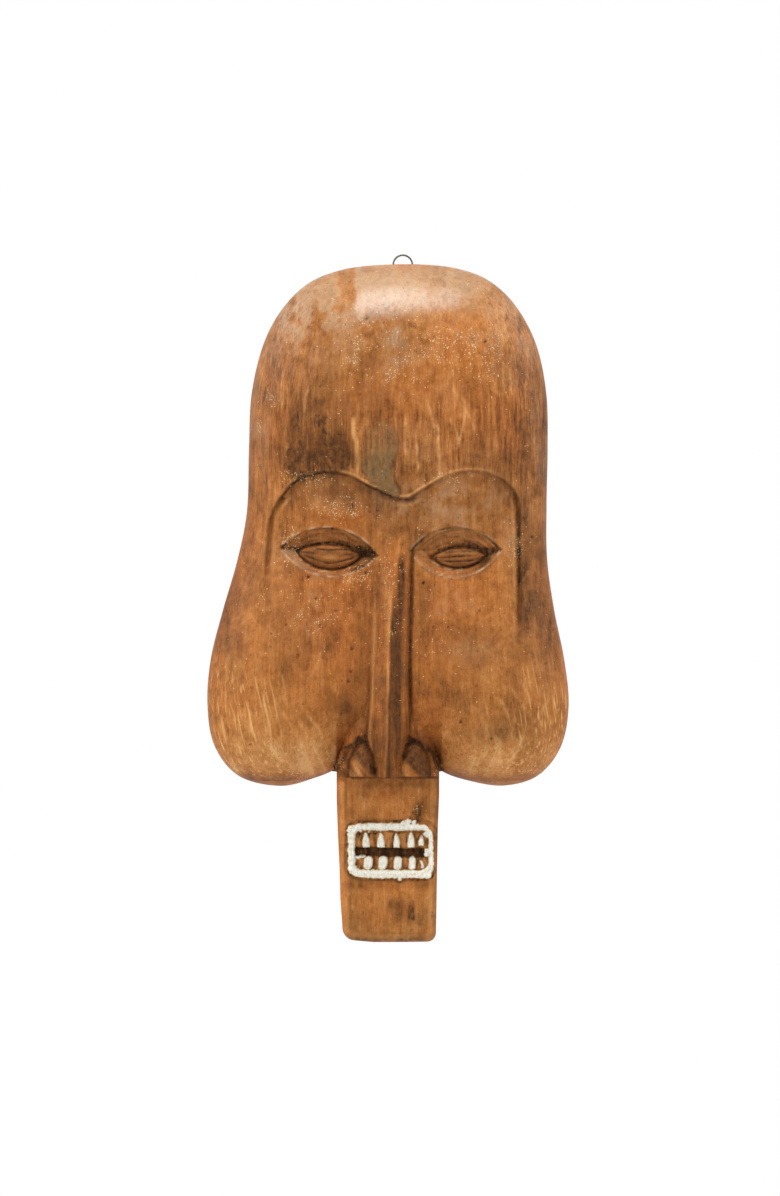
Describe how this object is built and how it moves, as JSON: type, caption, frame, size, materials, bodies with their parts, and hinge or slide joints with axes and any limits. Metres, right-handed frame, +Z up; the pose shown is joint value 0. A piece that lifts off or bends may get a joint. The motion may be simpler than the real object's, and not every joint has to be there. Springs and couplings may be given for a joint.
{
  "type": "carved wooden wall mask",
  "caption": "Long carved wooden face mask with arched brows, slit eyes, a ridged nose and a white-painted toothed mouth, hollow behind, hung on the wall by a small wire ring.",
  "frame": {"origin": "on the wall plane behind the top of the hanging ring, where the hook carries the mask", "axes": "+Z up along the face, +X to the viewer's right, +Y into the wall, so the face looks along -Y"},
  "size_m": [0.2353, 0.0758, 0.4469],
  "materials": {
    "carved_wood": "waxed satin, worn and stained",
    "white_paint": "thick brushed matte paint",
    "hanger_steel": "dulled plain wire and sheet"
  },
  "bodies": {
    "mask": {"mask_body": "carved_wood", "lip_paint": "white_paint", "upper_tooth_1": "white_paint", "upper_tooth_2": "white_paint", "upper_tooth_3": "white_paint", "upper_tooth_4": "white_paint", "upper_tooth_5": "white_paint", "lower_tooth_1": "white_paint", "lower_tooth_2": "white_paint", "lower_tooth_3": "white_paint", "lower_tooth_4": "white_paint", "lower_tooth_5": "white_paint", "hanger_strap": "hanger_steel", "hanger_screw": "hanger_steel"},
    "ring": {"hanger_ring": "hanger_steel"}
  },
  "joints": [
    {"name": "ring_swing", "type": "hinge", "parent": "mask", "child": "ring", "pos_m": [0, -0.0018, -0.01065], "axis": [-1, 0, 0], "range_deg": [0, 160]}
  ]
}
